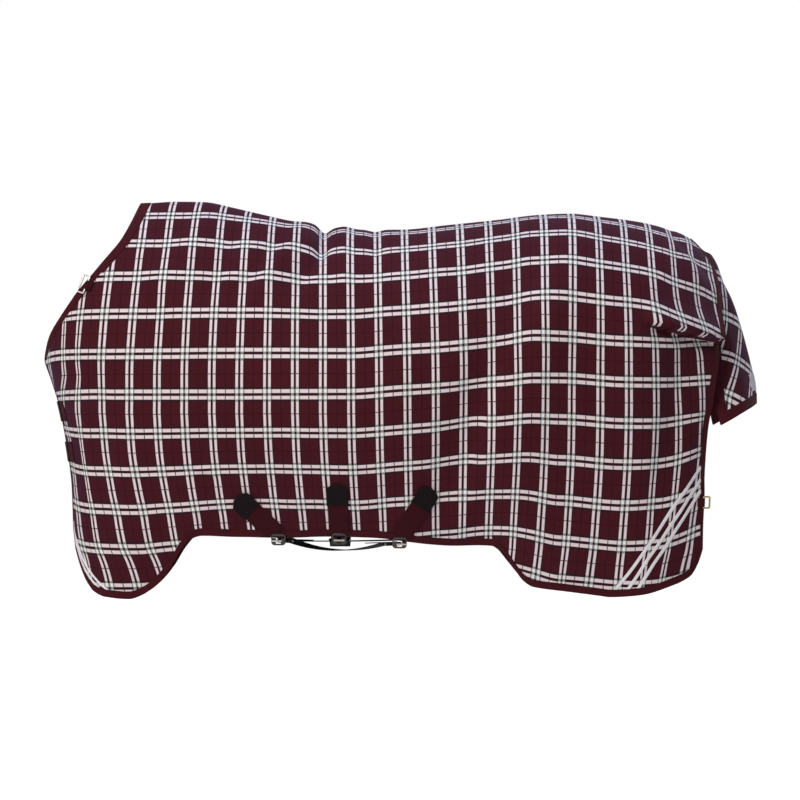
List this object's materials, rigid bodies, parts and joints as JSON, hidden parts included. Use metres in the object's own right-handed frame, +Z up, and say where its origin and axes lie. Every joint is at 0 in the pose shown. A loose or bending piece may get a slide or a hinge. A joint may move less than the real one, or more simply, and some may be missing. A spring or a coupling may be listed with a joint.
{
  "type": "fly sheet",
  "caption": "Horse fly sheet in plaid mesh cloth with an opening front, hinged tail flap, crossed belly straps with hook clips, and rings for a neck cover.",
  "frame": {"origin": "underside of the back seam at the middle of the horse's back", "axes": "+X towards the horse's tail, +Y towards the horse's right, +Z up"},
  "size_m": [1.7989, 0.585, 1.0002],
  "materials": {
    "plaid_cloth": "matte mesh, burgundy ground with double white and dark stripes",
    "binding": "matte woven tape",
    "white_tape": "matte woven tape",
    "black_patch": "matte nylon",
    "black_webbing": "ribbed webbing",
    "burgundy_webbing": "ribbed webbing",
    "label": "satin woven, blank",
    "steel": "nickel plated",
    "brass_wire": "dull"
  },
  "bodies": {
    "sheet": {"left_side_panel": "plaid_cloth", "right_side_panel": "plaid_cloth", "right_front_panel": "plaid_cloth", "spine_seam_tape": "binding", "left_neck_binding": "binding", "right_neck_binding": "binding", "left_rear_binding": "binding", "right_rear_binding": "binding", "left_hem_binding": "binding", "right_hem_binding": "binding", "right_front_edge_binding": "binding", "right_front_hem_binding": "binding", "left_rear_corner_tapes": "white_tape", "right_rear_corner_tapes": "white_tape", "right_front_corner_tapes": "white_tape", "left_rump_dart": "plaid_cloth", "right_rump_dart": "plaid_cloth", "left_front_patch": "black_patch", "left_middle_patch": "black_patch", "left_rear_patch": "black_patch", "left_front_strap": "burgundy_webbing", "left_middle_strap": "burgundy_webbing", "left_rear_strap": "burgundy_webbing", "right_front_strap": "burgundy_webbing", "right_middle_strap": "burgundy_webbing", "right_rear_strap": "burgundy_webbing", "slotted_plate_front": "steel", "slotted_plate_middle": "steel", "slotted_plate_rear": "steel", "chest_pad_upper": "black_patch", "chest_pad_lower": "black_patch", "right_neck_ring_tab": "burgundy_webbing", "left_leg_ring_tab": "burgundy_webbing", "right_leg_ring_tab": "burgundy_webbing"},
    "left_front": {"left_front_panel": "plaid_cloth", "left_front_edge_binding": "binding", "left_front_hem_binding": "binding", "left_front_corner_tapes": "white_tape", "chest_strap_base_upper": "burgundy_webbing", "chest_strap_base_lower": "burgundy_webbing", "left_neck_ring_tab": "burgundy_webbing"},
    "upper_chest_strap": {"chest_strap_upper": "burgundy_webbing"},
    "lower_chest_strap": {"chest_strap_lower": "burgundy_webbing"},
    "flap": {"tail_flap": "plaid_cloth", "tail_flap_binding_left": "binding", "tail_flap_binding_right": "binding", "tail_flap_binding_foot": "binding", "woven_label": "label"},
    "front_belly_strap": {"belly_strap_front": "black_webbing", "t_hook_front": "steel"},
    "middle_belly_strap": {"belly_strap_middle": "black_webbing", "t_hook_middle": "steel"},
    "rear_belly_strap": {"belly_strap_rear": "black_webbing", "t_hook_rear": "steel"},
    "neck_ring_left": {"left_neck_ring": "steel"},
    "neck_ring_right": {"right_neck_ring": "steel"},
    "leg_ring_left": {"left_leg_ring": "brass_wire"},
    "leg_ring_right": {"right_leg_ring": "brass_wire"}
  },
  "joints": [
    {"name": "front_opening", "type": "hinge", "parent": "sheet", "child": "left_front", "pos_m": [-0.7295, -0.1806, -0.32], "axis": [-0.1762, -0.0414, 0.9835], "range_deg": [0, 100]},
    {"name": "chest_strap_upper_peel", "type": "hinge", "parent": "left_front", "child": "upper_chest_strap", "pos_m": [-0.85835, -0.03595, -0.45685], "axis": [-0.2229, 0.0019, 0.9748], "range_deg": [0, 80]},
    {"name": "chest_strap_lower_peel", "type": "hinge", "parent": "left_front", "child": "lower_chest_strap", "pos_m": [-0.8389, -0.0362, -0.55825], "axis": [-0.1603, 0.0039, 0.9871], "range_deg": [0, 80]},
    {"name": "tail_flap_lift", "type": "hinge", "parent": "sheet", "child": "flap", "pos_m": [0.756, 0, -0.038], "axis": [0, -1, 0], "range_deg": [0, 100]},
    {"name": "belly_strap_front_swing", "type": "hinge", "parent": "sheet", "child": "front_belly_strap", "pos_m": [-0.3033, -0.16382, -0.77943], "axis": [0.6669, 0.7449, -0.0167], "range_deg": [-5, 5]},
    {"name": "belly_strap_middle_swing", "type": "hinge", "parent": "sheet", "child": "middle_belly_strap", "pos_m": [-0.1515, -0.17302, -0.77715], "axis": [0, 1, 0], "range_deg": [-5, 5]},
    {"name": "belly_strap_rear_swing", "type": "hinge", "parent": "sheet", "child": "rear_belly_strap", "pos_m": [-0.00105, -0.17379, -0.78699], "axis": [-0.6669, 0.7449, 0.0167], "range_deg": [-5, 5]},
    {"name": "neck_ring_left_turn", "type": "hinge", "parent": "left_front", "child": "neck_ring_left", "pos_m": [-0.78403, -0.13114, -0.13954], "axis": [0.3733, 0.1075, 0.9215], "range_deg": [0, 150]},
    {"name": "neck_ring_right_turn", "type": "hinge", "parent": "sheet", "child": "neck_ring_right", "pos_m": [-0.78403, 0.13114, -0.13954], "axis": [-0.3733, 0.1075, -0.9215], "range_deg": [0, 150]},
    {"name": "leg_ring_left_turn", "type": "hinge", "parent": "sheet", "child": "leg_ring_left", "pos_m": [0.75732, -0.15687, -0.68346], "axis": [-0.0317, 0.0813, -0.9962], "range_deg": [0, 150]},
    {"name": "leg_ring_right_turn", "type": "hinge", "parent": "sheet", "child": "leg_ring_right", "pos_m": [0.75732, 0.15687, -0.68346], "axis": [0.0317, 0.0813, 0.9962], "range_deg": [0, 150]}
  ]
}
